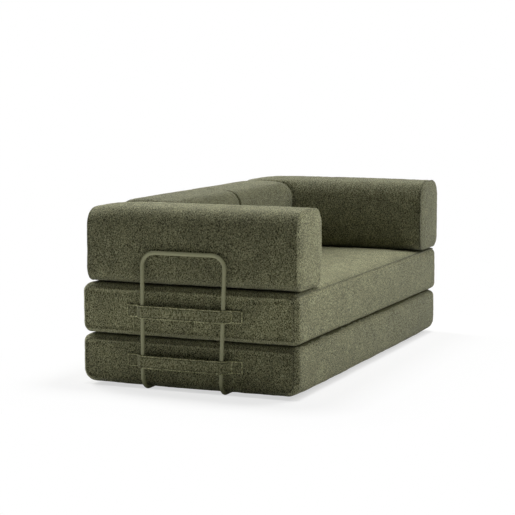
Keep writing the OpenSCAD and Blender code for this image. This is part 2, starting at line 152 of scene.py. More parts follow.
seen.operation = "MULTIPLY"
blend = n.new("ShaderNodeMixShader")
out = n.new("ShaderNodeOutputMaterial")
link(place.outputs["Object"], either_side.inputs[0])
link(either_side.outputs["Vector"], beyond.inputs[0])
link(beyond.outputs["Vector"], outside.inputs[0])
link(outside.outputs["Vector"], spread.inputs[0])
link(spread.outputs["Value"], near.inputs["Value"])
link(near.outputs["Result"], fade.inputs["Fac"])
link(rays.outputs["Is Camera Ray"], seen.inputs[0])
link(fade.outputs["Color"], seen.inputs[1])
link(seen.outputs[0], blend.inputs["Fac"])
link(matt.outputs[0], blend.inputs[1])
link(glow.outputs[0], blend.inputs[2])
link(blend.outputs[0], out.inputs["Surface"])
floor_mesh.materials.append(pale)

# Lower slab. A foam block in a zipped cover of short curled pile, cut a little small, so that it swells between its
# edges, while each end panel's seam draws in. Painted shade makes it darker towards the far end and on the front.
# Radii run front bottom, back bottom, back top, front top; crowns run bottom, back, top, front.
slab_size = (1.810, 0.938, 0.204)
slab_edges = (0.054, 0.054, 0.037, 0.030)
slab_crown = 0.005
slab_end_edge = 0.027
slab_step, slab_arc_n, slab_rings = 0.020, 10, (0.006, 0.022)
slab_turns = [math.radians(a) for a in (6, 11, 15, 19)]
end_seam_in = 0.020
far_end_share = 0.989
foot_lift = 0.0095
settle = 2.3
stuffing_force, stuffing_most = 4.0, 0.003
olive = (0.190, 0.188, 0.098)
olive_tip = (0.45, 0.445, 0.270)
olive_gap = (0.034, 0.034, 0.015)


def pile_fabric(name, base, tip, gap, curl=300.0, depth=0.0045):
    """Short curled pile: lit tips, dark gaps between the curls, patches where the nap lies another way, and the painted
    light and shade kept on each point as "sewn".
    """
    made = bpy.data.materials.new(name)
    made.use_nodes = True
    n, link = made.node_tree.nodes, made.node_tree.links.new
    cloth = n["Principled BSDF"]
    cloth.inputs["Roughness"].default_value = 0.92
    cloth.inputs["Specular IOR Level"].default_value = 0.15
    cloth.inputs["Sheen Weight"].default_value = 0.30
    cloth.inputs["Sheen Roughness"].default_value = 0.45
    cloth.inputs["Sheen Tint"].default_value = (0.86, 0.87, 0.70, 1)
    place = n.new("ShaderNodeTexCoord")
    combed = n.new("ShaderNodeMapping")
    combed.inputs["Scale"].default_value = (1, 1, 0.7)
    curls = n.new("ShaderNodeTexNoise")
    curls.inputs["Scale"].default_value = curl
    curls.inputs["Detail"].default_value = 2.0
    curls.inputs["Roughness"].default_value = 0.6
    curls.inputs["Distortion"].default_value = 0.8
    fuzz = n.new("ShaderNodeTexNoise")
    fuzz.inputs["Scale"].default_value = 2.6 * curl
    fuzz.inputs["Detail"].default_value = 1.0
    nap = n.new("ShaderNodeTexNoise")
    nap.inputs["Scale"].default_value = 13.0
    nap.inputs["Detail"].default_value = 2.0
    shade = n.new("ShaderNodeValToRGB")
    stops = shade.color_ramp.elements
    stops[0].position, stops[0].color = 0.41, (*gap, 1)
    stops[1].position, stops[1].color = 0.62, (*tip, 1)
    middle = stops.new(0.50)
    middle.color = (*base, 1)
    brushed = n.new("ShaderNodeMapRange")
    brushed.inputs["From Min"].default_value = 0.3
    brushed.inputs["From Max"].default_value = 0.7
    brushed.inputs["To Min"].default_value = 0.85
    brushed.inputs["To Max"].default_value = 1.15
    # The "sewn" mark is painted light and shade: above zero it darkens the colour, below zero it lightens it.
    sewn = n.new("ShaderNodeAttribute")
    sewn.attribute_name = "sewn"
    pressed = n.new("ShaderNodeMapRange")
    pressed.inputs["To Min"].default_value = 1.0
    pressed.inputs["To Max"].default_value = 0.42
    pressed.clamp = False
    both = n.new("ShaderNodeMath")
    both.operation = "MULTIPLY"
    tone = n.new("ShaderNodeVectorMath")
    tone.operation = "SCALE"
    rise = n.new("ShaderNodeMath")
    rise.operation = "MULTIPLY_ADD"
    rise.inputs[1].default_value = 0.25
    bump = n.new("ShaderNodeBump")
    bump.inputs["Strength"].default_value = 1.0
    bump.inputs["Distance"].default_value = depth
    link(place.outputs["Object"], combed.inputs["Vector"])
    for texture in (curls, fuzz, nap):
        link(combed.outputs["Vector"], texture.inputs["Vector"])
    link(curls.outputs["Fac"], shade.inputs["Fac"])
    link(nap.outputs["Fac"], brushed.inputs["Value"])
    link(sewn.outputs["Fac"], pressed.inputs["Value"])
    link(shade.outputs["Color"], tone.inputs[0])
    link(brushed.outputs["Result"], both.inputs[0])
    link(pressed.outputs["Result"], both.inputs[1])
    link(both.outputs[0], tone.inputs["Scale"])
    link(tone.outputs["Vector"], cloth.inputs["Base Color"])
    link(fuzz.outputs["Fac"], rise.inputs[0])
    link(curls.outputs["Fac"], rise.inputs[2])
    link(rise.outputs[0], bump.inputs["Height"])
    link(bump.outputs["Normal"], cloth.inputs["Normal"])
    return made


def section(width, height, edges, crowns, inset, swell, arc_n, wide_n, tall_n):
    """Outline of a block at one place along it, as (across, up) points, from the front bottom edge round."""
    sharpest = 0.002
    fit = [max(r - inset, sharpest) for r in edges]
    y0 = -width / 2 + crowns[3] + inset
    y1 = width / 2 - crowns[1] - inset
    z0 = crowns[0] + inset
    z1 = height - crowns[2] - inset
    centres = [(y0 + fit[0], z0 + fit[0]), (y1 - fit[1], z0 + fit[1]),
               (y1 - fit[2], z1 - fit[2]), (y0 + fit[3], z1 - fit[3])]
    outward = [(0, -1), (1, 0), (0, 1), (-1, 0)]
    points = []
    for k in range(4):
        turn = math.pi + k * math.pi / 2 + np.linspace(0, math.pi / 2, arc_n + 1)
        points.append(np.array(centres[k]) + fit[k] * np.stack([np.cos(turn), np.sin(turn)], 1))
        along = np.linspace(0, 1, (wide_n if k % 2 == 0 else tall_n) + 1)[1:-1, None]
        way = np.array(outward[k])
        start = np.array(centres[k]) + fit[k] * way
        end = np.array(centres[(k + 1) % 4]) + fit[(k + 1) % 4] * way
        lift = swell * (1 - (2 * along - 1) ** 2)
        if k == 0:
            lift = np.minimum(1, settle * lift)
        points.append(start + along * (end - start) + crowns[k] * lift * way)
    return np.concatenate(points)


def block_mesh(name, size, edges, crowns, end_edge, step, arc_n, panel_rings, seam_turns=()):
    """Closed grid of quads over a crowned block that lies along X, its underside at z = 0. All points carry, as
    "inset", how far they lie in from the sides towards the middle of an end panel."""
    length, width, height = size
    crown = crowns[3]
    rim_crown, panel_fall, panel_rise, middle_lift, inset_slope = 0.0012, 0.35, 0.65, 0.35, 0.05
    wide_n = round((width - edges[0] - edges[1]) / step)
    tall_n = round((height - edges[0] - edges[3]) / step)
    turns = sorted({*np.linspace(0, math.pi / 2, 5), *seam_turns})
    ends = [(crown * (1 - panel_fall * (r / panel_rings[-1])), end_edge + r) for r in reversed(panel_rings)]
    ends += [(crown + end_edge * (1 - math.cos(a)), end_edge * (1 - math.sin(a))) for a in turns]
    reach = length / 2 - crown - end_edge
    body = np.linspace(-reach, reach, round(2 * reach / step) + 1)[1:-1]
    places = [(-length / 2 + x, e) for x, e in ends] + [(x, 0.0) for x in body]
    places += [(length / 2 - x, e) for x, e in reversed(ends)]
    rings, insets = [], []
    for x, e in places:
        low = crowns[0] * (middle_lift + (1 - middle_lift) * (2 * x / length) ** 6)
        swell = 1 - (2 * x / length) ** 4
        ring = section(width, height, edges, (low, *crowns[1:]), e, swell, arc_n, wide_n, tall_n)
        rings.append(np.column_stack([np.full(len(ring), x), ring]))
        insets.append(np.full(len(ring), e))
    around = len(rings[0])
    points, inset = list(np.concatenate(rings)), list(np.concatenate(insets))
    faces = []
    for j in range(len(rings) - 1):
        for i in range(around):
            a, b = j * around + i, j * around + (i + 1) % around
            faces.append((a, a + around, b + around, b))
    corner = [arc_n // 2]
    for k, side in enumerate((wide_n, tall_n, wide_n)):
        corner.append(corner[-1] + arc_n + side)
    across, up = arc_n + wide_n, arc_n + tall_n
    for ring, way in ((0, 1), (len(rings) - 1, -1)):
        at = lambda i: ring * around + i % around
        low = [at(corner[0] + i) for i in range(across + 1)]
        high = [at(corner[3] - i) for i in range(across + 1)]
        left = [at(corner[0] - i) for i in range(up + 1)]
        right = [at(corner[1] + i) for i in range(up + 1)]
        grid = [low]
        for j in range(1, up):
            row = [left[j]]
            v = j / up
            for i in range(1, across):
                u = i / across
                p = ((1 - v) * points[low[i]] + v * points[high[i]] + (1 - u) * points[left[j]] + u * points[right[j]]
                     - (1 - u) * (1 - v) * points[low[0]] - u * (1 - v) * points[low[-1]]
                     - (1 - u) * v * points[high[0]] - u * v * points[high[-1]])
                from_middle = 1 - (1 - (2 * u - 1) ** 2) * (1 - (2 * v - 1) ** 2)
                bulge = rim_crown + (panel_rise * crown - rim_crown) * from_middle
                p = np.array([-way * (length / 2 - bulge), p[1], p[2]])
                row.append(len(points))
                points.append(p)
                inset.append(end_edge + panel_rings[-1] + inset_slope * min(u, 1 - u, v, 1 - v))
            grid.append(row + [right[j]])
        grid.append(high)
        for j in range(up):
            for i in range(across):
                quad = (grid[j][i], grid[j][i + 1], grid[j + 1][i + 1], grid[j + 1][i])
                faces.append(quad[::way])
    mesh = bpy.data.meshes.new(name)
    mesh.from_pydata([tuple(p) for p in points], [], faces)
    kept = mesh.attributes.new("inset", "FLOAT", "POINT")
    kept.data.foreach_set("value", np.array(inset, np.float32))
    return mesh


def points_of(mesh):
    flat = np.zeros(3 * len(mesh.vertices), np.float32)
    mesh.vertices.foreach_get("co", flat)
    return flat.reshape(-1, 3).astype(float)


def set_points(mesh, points):
    mesh.vertices.foreach_set("co", points.astype(np.float32).ravel())
    mesh.update()


def stuff(cushion, pressure, most):
    """Swells the cover over its foam with a short cloth run, and holds each point near where it was sewn."""
    steps, evenings, held_in = 20, 6, 0.2
    before = points_of(cushion.data)
    swell = cushion.modifiers.new("stuffing", "CLOTH")
    swell.settings.quality = 5
    swell.settings.mass = 0.5
    swell.settings.tension_stiffness = 30
    swell.settings.compression_stiffness = 30
    swell.settings.shear_stiffness = 15
    swell.settings.bending_stiffness = 2.0
    swell.settings.use_pressure = True
    swell.settings.uniform_pressure_force = pressure
    swell.settings.effector_weights.gravity = 0
    swell.collision_settings.use_collision = False
    swell.point_cache.frame_start, swell.point_cache.frame_end = 1, steps
    for step in range(1, steps + 1):
        bpy.context.scene.frame_set(step)
    swollen = cushion.evaluated_get(bpy.context.evaluated_depsgraph_get())
    after = points_of(swollen.data)
    cushion.modifiers.remove(swell)
    bpy.context.scene.frame_set(1)
    moved = after - before
    ends = np.array([edge.vertices[:] for edge in cushion.data.edges])
    shared = np.bincount(ends.ravel(), minlength=len(moved))[:, None]
    for evening in range(evenings):
        around = np.zeros_like(moved)
        np.add.at(around, ends[:, 0], moved[ends[:, 1]])
        np.add.at(around, ends[:, 1], moved[ends[:, 0]])
        moved = 0.4 * moved + 0.6 * around / shared
    drawn_in = np.sum(moved * outward(cushion.data)[1], axis=1, keepdims=True) < 0
    moved = np.where(drawn_in, held_in, 1.0) * moved
    far = np.linalg.norm(moved, axis=1, keepdims=True)
    set_points(cushion.data, before + moved * most * np.tanh(far / most) / np.maximum(far, 1e-9))


def finer(cushion):
    """One level of subdivision, kept as the mesh; returns its points and their outward directions."""
    smooth = cushion.modifiers.new("smooth", "SUBSURF")
    smooth.levels = smooth.render_levels = 1
    made = bpy.data.meshes.new_from_object(cushion.evaluated_get(bpy.context.evaluated_depsgraph_get()))
    cushion.modifiers.remove(smooth)
    made.name = cushion.name
    cushion.data = made
    for face in made.polygons:
        face.use_smooth = True
    return outward(made)


def outward(mesh):
    ways = np.zeros(3 * len(mesh.vertices), np.float32)
    mesh.vertices.foreach_get("normal", ways)
    return points_of(mesh), ways.reshape(-1, 3).astype(float)


def lumps(points, size, seed):
    """Smooth unevenness from -1 to 1, with lumps of about that size."""
    shift = Vector((seed, 2.3 * seed, -1.7 * seed))
    return np.array([noise.noise(Vector(p) / size + shift) for p in points])


def seam_profile(away, depth=0.0035, half=0.0045):
    """A sewn seam: a narrow valley between two low ridges, by the distance from its line."""
    valley = np.exp(-((away / half) ** 2))
    ridges = np.exp(-(((np.abs(away) - 2.2 * half) / half) ** 2))
    return -depth * valley + 0.25 * depth * ridges


def paint_seam_shade(mesh, away, half=0.003, share=1.0):
    """Keeps on each point how near a seam it lies, as "sewn": painted shade that darkens the seam's valley."""
    mark = mesh.attributes.get("sewn") or mesh.attributes.new("sewn", "FLOAT", "POINT")
    before = np.zeros(len(away), np.float32)
    mark.data.foreach_get("value", before)
    mark.data.foreach_set("value", np.maximum(before, share * np.exp(-((away / half) ** 2))).astype(np.float32))


def paint_light_and_shade(mesh, share):
    """Adds that share over the whole piece to the "sewn" mark: painted shade where it is positive, painted light where
    it is negative.
    """
    mark = mesh.attributes["sewn"]
    before = np.zeros(len(mesh.vertices), np.float32)
    mark.data.foreach_get("value", before)
    mark.data.foreach_set("value", (before + share).astype(np.float32))


pile = pile_fabric("olive_curled_pile", olive, olive_tip, olive_gap)


def dress(cushion, fabric, body, node):
    """Gives a cushion its fabric and hangs it on its body in place of the plain solid."""
    cushion.data.materials.clear()
    cushion.data.materials.append(fabric)
    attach(cushion, body)
    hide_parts(node)


def make_slab(name, edges, lift, bottom, seed, top_seam=None):
    """Sews and stuffs a slab with its underside at bottom; returns it with its points, for its own shaping."""
    crowns = (lift, slab_crown, 0, slab_crown)
    mesh = block_mesh(name, slab_size, edges, crowns, slab_end_edge, slab_step, slab_arc_n, slab_rings, slab_turns)
    slab = bpy.data.objects.new(name, mesh)
    bpy.context.scene.collection.objects.link(slab)
    mesh.transform(Matrix.Translation((0, 0, bottom)))
    stuff(slab, stuffing_force, stuffing_most)
    points, ways = finer(slab)
    inset = np.zeros(len(points), np.float32)
    slab.data.attributes["inset"].data.foreach_get("value", inset)
    push = seam_profile(inset - end_seam_in)
    # Painted shade along the end panel's seam, heavier near the corners.
    by_corner = np.abs(points[:, 1]) > slab_size[1] / 2 - 0.04
    paint_seam_shade(slab.data, inset - end_seam_in, share=np.where(by_corner, 0.8, 0.2))
    push += 0.0016 * lumps(points, 0.13, seed) + 0.0011 * lumps(points, 0.021, seed + 1)
    if top_seam is not None:
        push += seam_profile(top_seam(points), 0.0036, 0.004)
        # Painted shade along the top front seam.
        paint_seam_shade(slab.data, top_seam(points), 0.0038)
    points += ways * push[:, None]
    return slab, points


slab, points = make_slab("lower_slab_cover_sewn", slab_edges, foot_lift, 0.0, 3.0)
lower_top = 0.204
points[:, 2] = np.clip(points[:, 2], 0.0, lower_top)
points[:, 0] = np.where(points[:, 0] > 0, far_end_share * points[:, 0], points[:, 0])
set_points(slab.data, points)
# Painted shade: darker towards the far end, as if the light fell off there, and darker still on the front face.
front = np.clip((-points[:, 1] - 0.40) / 0.04, 0, 1)
paint_light_and_shade(slab.data, 0.08 + 0.30 * points[:, 0] + front * (0.22 + 0.18 * points[:, 0]))
dress(slab, pile, "lower_slab", "lower_slab_cover")

# Upper slab. The same block, whose top is the seat: it swells between the arms and the back cushions,
# and a seam runs along its top front edge, a little wavy where the pile is drawn in.
upper_bottom = 0.2043
seat_top = 0.4083
seat_half = 0.622
seat_front = -0.427
seat_back = 0.1527
seat_rise = 0.014
seat_margin, seat_depth = 0.038, 0.014
seat_edge = 0.037
upper_edges = (0.030, seat_edge, seat_edge, seat_edge)


def seat_seam(points):
    """Distance from the seam on the rounded top front edge; under the nearer end it lies a little lower."""
    turn = np.arctan2(seat_front - points[:, 1], points[:, 2] - (seat_top - seat_edge))
    wave = 0.0016 * lumps(points * (1, 0, 0), 0.055, 5.0)
    line = math.radians(42) - math.radians(4) * points[:, 0] / 0.9
    near = (points[:, 1] < seat_front + 0.02) & (points[:, 2] > seat_top - 0.045)
    return np.where(near, (turn - line) * seat_edge + wave, 1.0)


slab, points = make_slab("upper_slab_cover_sewn", upper_edges, 0.0, upper_bottom, 8.0, seat_seam)
across = np.clip(points[:, 0] / (seat_half + seat_margin), -1, 1)
deep = np.clip((2 * points[:, 1] - seat_front - seat_back) / (seat_back - seat_front), -1, 1)
on_top = points[:, 2] > seat_top - seat_depth
dome = seat_rise * (1 - across ** 14) * (1 - deep ** 4)
seat = on_top & (np.abs(across) < 1) & (np.abs(deep) < 1)
points[:, 2] = np.where(seat, points[:, 2] + dome, np.minimum(points[:, 2], seat_top))
points[:, 2] = np.maximum(points[:, 2], upper_bottom)
set_points(slab.data, points)
# Painted light and shade: lighter at the near end and darker towards the far end, as if the light fell off there, and
# lighter on the seat's top, as if lit from above.
paint_light_and_shade(slab.data, 0.05 + 0.60 * points[:, 0] - seat * (0.17 + 0.20 * points[:, 0]))
dress(slab, pile, "upper_slab", "upper_slab_cover")

# Arm bolsters. Upright foam blocks, wrapped lengthwise, with a panel at each end and its seam round the section;
# the two top edges are the roundest. They stand on the upper slab at its two ends.
bolster_edges = (0.050, 0.050, 0.072, 0.072)
bolster_crown = 0.006
bolster_crowns = (0, bolster_crown, bolster_crown, bolster_crown)
bolster_height = 0.322
bolster_end_edge, bolster_end_seam = 0.025, 0.020
bolster_step, bolster_arc_n, bolster_rings = 0.0165, 6, (0.006, 0.020)
bolster_bottom = 0.4086
seam_turns = [math.radians(a) for a in (56, 62, 74, 82)]


def sag(points, length, thickness, height, slack):
    """Lets the top of the back end sink by slack and draws its sides in a little."""
    reach = 0.22
    sunk = slack * np.clip((points[:, 0] - length / 2 + reach) / reach, 0, 1) ** 2.6
    points[:, 1] *= 1 - sunk / thickness
    points[:, 2] = np.maximum(points[:, 2] * (1 - sunk / height), 0.0)
    return points


def make_bolster(name, size, place, turn, seed, slack=0.0, end_edge=bolster_end_edge, end_seam=bolster_end_seam):
    """Sews and stuffs a bolster that stands at place, turned about the vertical; returns it with its points."""
    length, thickness, height = size
    mesh = block_mesh(name, size, bolster_edges, bolster_crowns, end_edge, bolster_step, bolster_arc_n,
                      bolster_rings, seam_turns)
    bolster = bpy.data.objects.new(name, mesh)
    bpy.context.scene.collection.objects.link(bolster)
    stuff(bolster, stuffing_force, stuffing_most)
    points, ways = finer(bolster)
    away = length / 2 - np.abs(points[:, 0]) - end_seam + 0.0012 * lumps(points, 0.05, seed + 2)
    push = seam_profile(away)
    # Painted shade along the end seam.
    paint_seam_shade(bolster.data, away, share=0.45)
    push += 0.0016 * lumps(points, 0.11, seed) + 0.0012 * lumps(points, 0.019, seed + 1)
    points += ways * push[:, None]
    stand = Matrix.Translation(place) @ Matrix.Rotation(turn, 4, "Z")
    set_points(bolster.data, sag(points, length, thickness, height, slack))
    bolster.data.transform(stand)
    return bolster, points_of(bolster.data)


arm_length, arm_thickness, arm_out, arm_forward, arm_slack = 0.921, 0.283, 0.7635, 0.0085, 0.019
arms = (("left", -1, 0.925, 0.316, (-arm_out, -0.0065, bolster_bottom)),
        ("right", 1, 0.925, 0.327, (arm_out + 0.005, -0.0155, bolster_bottom)))
for side, sign, long, height, place in arms:
    arm, points = make_bolster(side + "_arm_cover_sewn", (long, arm_thickness, height), place, math.pi / 2,
                               11.0 + sign * arm_out, arm_slack)
    pressed = np.clip((points[:, 1] - seat_back) / 0.06, 0, 1)
    top_edge = bolster_edges[2]
    u = (seat_half + bolster_crown + top_edge - sign * points[:, 0]) / top_edge
    v = (points[:, 2] - bolster_bottom - height + bolster_crown + top_edge) / top_edge
    corner = (u > 0.01) & (v > 0.01)
    u, v = np.where(corner, u, 1.0), np.where(corner, v, 1.0)
    full = pressed * corner * (np.hypot(u, v) / (u ** 6 + v ** 6) ** (1 / 6) - 1)
    points[:, 0] -= sign * full * u * top_edge
    points[:, 2] += full * v * top_edge
    inner = seat_half + np.where(points[:, 1] > seat_back - 0.02, 0.0, 0.002)
    points[:, 0] = sign * np.maximum(sign * points[:, 0], inner)
    set_points(arm.data, points)
    # Painted light and shade: the near arm's front panel is painted lighter; the far arm is painted darker all over,
    # most on its front panel and its crest.
    end_panel = np.clip((-points[:, 1] - 0.44) / 0.02, 0, 1)
    crest = np.clip((points[:, 2] - 0.66) / 0.05, 0, 1)
    paint_light_and_shade(arm.data, -0.60 * end_panel if sign < 0 else 0.26 + np.maximum(0.42 * end_panel, 0.40 * crest))
    dress(arm, pile, side + "_arm", side + "_arm_cover")

# Back bolsters. The same cushions, thicker and shorter, side by side between the arms at the back of the seat. They
# sink a little beside the arms, and painted shade makes them darker than the arms.
back_length, back_thickness, back_out, back_in = 0.62155, 0.310, 0.310925, 0.308
back_height, back_end_edge, back_end_seam = bolster_height - 0.004, 0.013, 0.009
back_between, by_arm_sink = (0.0001, 0.6218), 0.006
for side, place in (("left", -back_out), ("right", back_out)):
    back, points = make_bolster(side + "_back_cover_sewn", (back_length, back_thickness, back_height),
                                (place, back_in, bolster_bottom), 0.0, 21.0 + place,
                                end_edge=back_end_edge, end_seam=back_end_seam)
    by_arm = np.clip((np.abs(points[:, 0]) - 0.54) / 0.08, 0, 1) ** 2
    points[:, 2] -= by_arm_sink * by_arm * np.clip((points[:, 2] - bolster_bottom) / bolster_height, 0, 1)
    points[:, 0] = np.clip(points[:, 0], *sorted(math.copysign(x, place) for x in back_between))
    set_points(back.data, points)
    # Painted shade: darkened all over.
    paint_light_and_shade(back.data, 0.62)
    dress(back, pile, side + "_back", side + "_back_cover")

# Foam cores. Blocks of open-celled seat foam, cut to the cover's inside; they show only where a cover is opened.
# The arms' cores sink at the back end as their covers do.
foam = bpy.data.materials.new("cut_foam")
foam.use_nodes = True
n, link = foam.node_tree.nodes, foam.node_tree.links.new
cells = n["Principled BSDF"]
cells.inputs["Roughness"].default_value = 0.9
place = n.new("ShaderNodeTexCoord")
pores = n.new("ShaderNodeTexVoronoi")
pores.inputs["Scale"].default_value = 520
cream = n.new("ShaderNodeValToRGB")
cream.color_ramp.elements[0].color = (0.50, 0.44, 0.27, 1)
cream.color_ramp.elements[1].color = (0.86, 0.80, 0.60, 1)
dent = n.new("ShaderNodeBump")
dent.inputs["Distance"].default_value = 0.0012
link(place.outputs["Object"], pores.inputs["Vector"])
link(pores.outputs["Distance"], cream.inputs["Fac"])
link(cream.outputs["Color"], cells.inputs["Base Color"])
link(pores.outputs["Distance"], dent.inputs["Height"])
link(dent.outputs["Normal"], cells.inputs["Normal"])
cushions = ("lower_slab", "upper_slab", "left_arm", "right_arm", "left_back", "right_back")
for cushion in cushions:
    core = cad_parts[cushion + "_core"]
    core.data.materials.clear()
    core.data.materials.append(foam)
cloth, above_zip = 0.009, 0.012
for side, sign, long, height, place in arms:
    size = (long - 2 * cloth, arm_thickness - 2 * cloth, height - cloth - above_zip)
    mesh = block_mesh(side + "_arm_core_cut", size, [r - cloth for r in bolster_edges], bolster_crowns,
                      bolster_end_edge - cloth, 2 * bolster_step, 4, bolster_rings)
    core = bpy.data.objects.new(mesh.name, mesh)
    bpy.context.scene.collection.objects.link(core)
    set_points(mesh, sag(points_of(mesh), long, arm_thickness, height, arm_slack))
    above = Matrix.Translation(place) @ Matrix.Translation((0, 0, above_zip))
    mesh.transform(above @ Matrix.Rotation(math.pi / 2, 4, "Z"))
    mesh.materials.append(foam)
    for face in mesh.polygons:
        face.use_smooth = True
    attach(core, side + "_arm")
    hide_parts(side + "_arm_core")

# Zips. Two woven tapes and a row of moulded teeth at the bottom of a slit in the pile, with a metal stop at each
# end: along the back of each slab and under each bolster. A slider without a pull runs on each.
tape_half, tape_thick = 0.010, 0.0008
tooth_pitch, tooth_thick, tooth_reach, tooth_high = 0.0025, 0.0017, 0.0034, 0.0023


def plain_finish(name, low, high, scale, rough, metal, stretch=(1, 1, 1), depth=0.0004):
    """A finish whose colour runs between two tones in a fine grain, with that grain raised a little."""
    made = bpy.data.materials.new(name)
    made.use_nodes = True
    n, link = made.node_tree.nodes, made.node_tree.links.new
    body = n["Principled BSDF"]
    body.inputs["Roughness"].default_value = rough
    body.inputs["Metallic"].default_value = metal
    place = n.new("ShaderNodeTexCoord")
    drawn = n.new("ShaderNodeMapping")
    drawn.inputs["Scale"].default_value = stretch
    grain = n.new("ShaderNodeTexNoise")
    grain.inputs["Scale"].default_value = scale
    grain.inputs["Detail"].default_value = 3
    tones = n.new("ShaderNodeValToRGB")
    tones.color_ramp.elements[0].position = 0.35
    tones.color_ramp.elements[1].position = 0.65
    tones.color_ramp.elements[0].color = (*low, 1)
    tones.color_ramp.elements[1].color = (*high, 1)
    raised = n.new("ShaderNodeBump")
    raised.inputs["Distance"].default_value = depth
    link(place.outputs["Object"], drawn.inputs["Vector"])
    link(drawn.outputs["Vector"], grain.inputs["Vector"])
    link(grain.outputs["Fac"], tones.inputs["Fac"])
    link(tones.outputs["Color"], body.inputs["Base Color"])
    link(grain.outputs["Fac"], raised.inputs["Height"])
    link(raised.outputs["Normal"], body.inputs["Normal"])
    return made


zip_tape = plain_finish("zip_tape", (0.035, 0.036, 0.020), (0.062, 0.063, 0.036), 900, 0.8, 0.0, (1, 3, 3), 0.0003)
zip_teeth = plain_finish("zip_teeth", (0.045, 0.046, 0.028), (0.075, 0.076, 0.046), 300, 0.38, 0.0)
zip_metal = plain_finish("zip_metal", (0.10, 0.10, 0.085), (0.16, 0.16, 0.135), 420, 0.34, 0.85, (1, 6, 1), 0.0001)
box_faces = [(0, 3, 2, 1), (4, 5, 6, 7), (0, 1, 5, 4), (1, 2, 6, 5), (2, 3, 7, 6), (3, 0, 4, 7)]


def bar(points, faces, kinds, low, high, kind, pinch=0.0):
    """Adds a bar between two corners, its top drawn in by pinch all round."""
    (x0, y0, z0), (x1, y1, z1) = low, high
    base = len(points)
    points += [(x0, y0, z0), (x1, y0, z0), (x1, y1, z0), (x0, y1, z0), (x0 + pinch, y0 + pinch, z1),
               (x1 - pinch, y0 + pinch, z1), (x1 - pinch, y1 - pinch, z1), (x0 + pinch, y1 - pinch, z1)]
    faces += [tuple(base + i for i in f) for f in box_faces]
    kinds += [kind] * len(box_faces)


def make_zip(name, length, stand, body, node):
    """Two tapes in short pieces, a stop at each end and the teeth of both sides in turn, in a row along X."""
    tape_piece, stop_half, stop_high = 0.03, 0.003, 0.0036
    points, faces, kinds = [], [], []
    for side in (-1, 1):
        edges = sorted((side * 0.0002, side * tape_half))
        pieces = np.linspace(-length / 2, length / 2, round(length / tape_piece) + 1)
        for x0, x1 in zip(pieces, pieces[1:]):
            bar(points, faces, kinds, (x0, edges[0], 0), (x1, edges[1], tape_thick), 0)
        stop = side * (length / 2 - stop_half)
        bar(points, faces, kinds, (stop - stop_half, -stop_half, tape_thick),
            (stop + stop_half, stop_half, tape_thick + stop_high), 2, 0.0006)
    for k in range(int((length - 0.014) / tooth_pitch)):
        x = -length / 2 + 0.007 + k * tooth_pitch
        edges = (-tooth_reach + 0.0004, 0.0011) if k % 2 else (-0.0011, tooth_reach - 0.0004)
        bar(points, faces, kinds, (x, edges[0], tape_thick), (x + tooth_thick, edges[1], tape_thick + tooth_high), 1,
            0.0003)
    mesh = bpy.data.meshes.new(name)
    mesh.from_pydata(points, [], faces)
    mesh.transform(stand)
    for finish in (zip_tape, zip_teeth, zip_metal):
        mesh.materials.append(finish)
    mesh.polygons.foreach_set("material_index", kinds)
    zipper = bpy.data.objects.new(name, mesh)
    bpy.context.scene.collection.objects.link(zipper)
    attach(zipper, body)
    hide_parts(node)


zip_margin, slit_deep, foot_slit_deep, slab_zip_up = 0.090, 0.010, 0.008, 0.048
on_back = Matrix.Rotation(-math.pi / 2, 4, "X")
for cushion, bottom in (("lower_slab", 0.0), ("upper_slab", upper_bottom)):
    make_zip(cushion + "_zip_closed", slab_size[0] - 2 * zip_margin,
             Matrix.Translation((0, slab_size[1] / 2 - slit_deep, bottom + slab_zip_up)) @ on_back,
             cushion, cushion + "_zip")
for side, sign in (("left", -1), ("right", 1)):
    under = Matrix.Translation((0, 0, foot_slit_deep)) @ Matrix.Rotation(math.pi, 4, "X")
    arm_foot = Matrix.Translation((sign * arm_out, -arm_forward, bolster_bottom)) @ Matrix.Rotation(math.pi / 2, 4, "Z")
    back_foot = Matrix.Translation((sign * back_out, back_in, bolster_bottom))
    make_zip(side + "_arm_zip_closed", arm_length - 2 * zip_margin, arm_foot @ under, side + "_arm", side + "_arm_zip")
    make_zip(side + "_back_zip_closed", back_length - 2 * zip_margin, back_foot @ under, side + "_back",
             side + "_back_zip")
for cushion in cushions:
    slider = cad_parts[cushion + "_slider"]
    slider.data.materials.clear()
    slider.data.materials.append(zip_metal)

# Hinge strip. A strip of strong woven tape, sewn by its edges to the top of the lower slab's front and the bottom
# of the upper slab's and folded deep into the groove between them; the bed opens on it, on the line of its fold.
# Here it is shaped only as it lies with the bed closed.
strip_low, strip_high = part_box("front_hinge_strip")
strip_in, strip_fold, strip_bend = 0.006, 0.020, 0.0004
webbing = plain_finish("hinge_webbing", (0.080, 0.079, 0.043), (0.135, 0.133, 0.075), 700, 0.95, 0.0, (1, 1, 4),
                       0.0005)
webbing.node_tree.nodes["Principled BSDF"].inputs["Specular IOR Level"].default_value = 0.05
along = np.linspace(strip_low.x, strip_high.x, 200)
up = np.linspace(strip_low.z, strip_high.z, 14)
middle, reach = (strip_low.z + strip_high.z) / 2, (strip_high.z - strip_low.z) / 2
points = [(x, y + strip_in + strip_fold * (1 - abs(z - middle) / reach) ** 2, z)
          for y in (strip_low.y, strip_high.y) for x in along for z in up]
wide, tall = len(along), len(up)
faces = []
for layer in (0, 1):
    for i in range(wide - 1):
        for j in range(tall - 1):
            a = layer * wide * tall + i * tall + j
            quad = (a, a + tall, a + tall + 1, a + 1)
            faces.append(quad if layer == 0 else quad[::-1])
rim = ([i * tall for i in range(wide)] + [(wide - 1) * tall + j for j in range(1, tall)]
       + [i * tall + tall - 1 for i in range(wide - 2, -1, -1)] + [j for j in range(tall - 2, 0, -1)])
